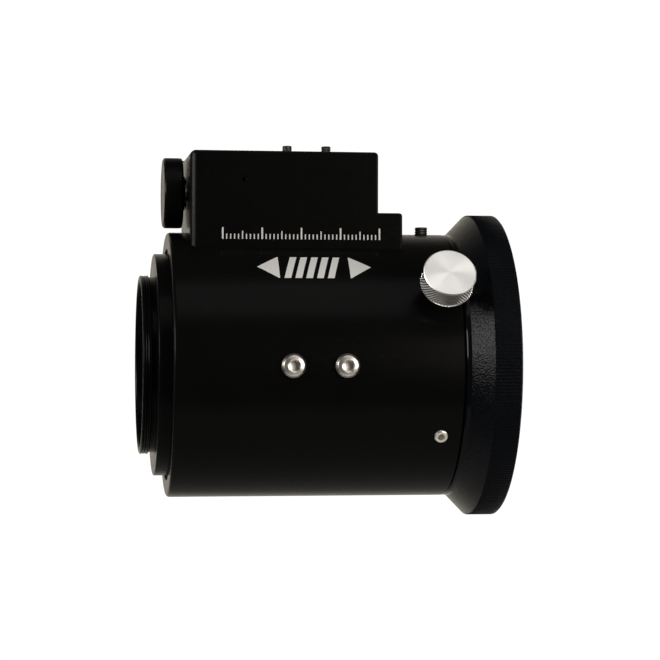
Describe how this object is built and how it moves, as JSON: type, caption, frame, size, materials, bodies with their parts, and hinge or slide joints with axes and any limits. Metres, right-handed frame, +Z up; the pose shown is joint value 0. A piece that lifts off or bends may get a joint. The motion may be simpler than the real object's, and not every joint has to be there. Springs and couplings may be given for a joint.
{
  "type": "motorised telescope focuser",
  "caption": "Cylindrical motorised focuser with a sliding drawtube, a motor box with a manual knob on top, and a rotating flange with a lock screw.",
  "frame": {"origin": "on the optical axis, at the end face of the telescope flange", "axes": "+X along the optical axis towards the telescope, +Z up through the motor box, +Y away from the side with the lock screw"},
  "size_m": [0.1084, 0.0953, 0.1129],
  "materials": {
    "black_anodised": "satin black anodised",
    "black_blasted": "bead-blasted black anodised",
    "black_steel": "black oxide",
    "stainless": "bright",
    "turned_aluminium": "turned, clear anodised",
    "brass": "machined",
    "slide_plastic": "matte",
    "black_plastic": "moulded",
    "board": "solder mask"
  },
  "bodies": {
    "focuser_body": {"body_tube": "black_anodised", "camera_end_bush": "slide_plastic", "telescope_end_bush": "slide_plastic", "guide_key": "brass", "key_screw_1": "stainless", "key_screw_2": "stainless", "flange_screw_top": "black_steel", "flange_screw_front": "stainless", "flange_screw_rear": "stainless", "motor_housing": "black_anodised", "rear_cover": "black_anodised", "cover_screw_upper_left": "black_steel", "cover_screw_upper_right": "black_steel", "cover_screw_lower_left": "black_steel", "cover_screw_lower_right": "black_steel", "housing_screw_front_1": "black_steel", "housing_screw_rear_1": "black_steel", "housing_screw_front_2": "black_steel", "housing_screw_rear_2": "black_steel", "screw_bearing": "slide_plastic", "motor_body": "stainless", "motor_cradle": "black_anodised", "motor_clamp_screw_1": "black_steel", "motor_clamp_screw_2": "black_steel", "circuit_board": "board", "data_socket": "stainless", "limit_switch": "black_plastic", "temperature_sensor": "black_plastic"},
    "drawtube_carriage": {"drawtube": "black_anodised", "camera_adapter": "black_anodised", "drive_nut": "brass", "carriage_bracket": "turned_aluminium", "bracket_screw_1": "stainless", "bracket_screw_2": "stainless"},
    "focus_drive": {"motor_shaft": "stainless", "shaft_coupling": "turned_aluminium", "lead_screw": "stainless", "focus_knob": "black_anodised", "knob_set_screw": "black_steel"},
    "flange": {"telescope_flange": "black_blasted"},
    "lock_slider": {"lock_pad": "slide_plastic"},
    "lock_screw": {"lock_stem": "stainless", "lock_knob": "turned_aluminium"}
  },
  "joints": [
    {"name": "focus_turn", "type": "hinge", "parent": "focuser_body", "child": "focus_drive", "pos_m": [-0.0954, 0, 0.052], "axis": [-1, 0, 0], "range_deg": [0, 1800]},
    {"name": "drawtube_slide", "type": "slide", "parent": "focuser_body", "child": "drawtube_carriage", "axis": [-1, 0, 0], "range_m": [0, 0.01]},
    {"name": "flange_rotation", "type": "hinge", "parent": "focuser_body", "child": "flange", "pos_m": [0, 0, 0], "axis": [1, 0, 0], "continuous": true},
    {"name": "lock_slide", "type": "slide", "parent": "focuser_body", "child": "lock_slider", "axis": [0, -0.8599, 0.5105], "range_m": [0, 0.0014]},
    {"name": "lock_turn", "type": "hinge", "parent": "lock_slider", "child": "lock_screw", "pos_m": [-0.0214, -0.03955, 0.02348], "axis": [0, -0.8599, 0.5105], "range_deg": [0, 720]}
  ],
  "couplings": [
    {"joint": "focus_turn", "follows": "drawtube_slide", "rad_per_m": 3141.6},
    {"joint": "lock_turn", "follows": "lock_slide", "rad_per_m": 8976}
  ]
}
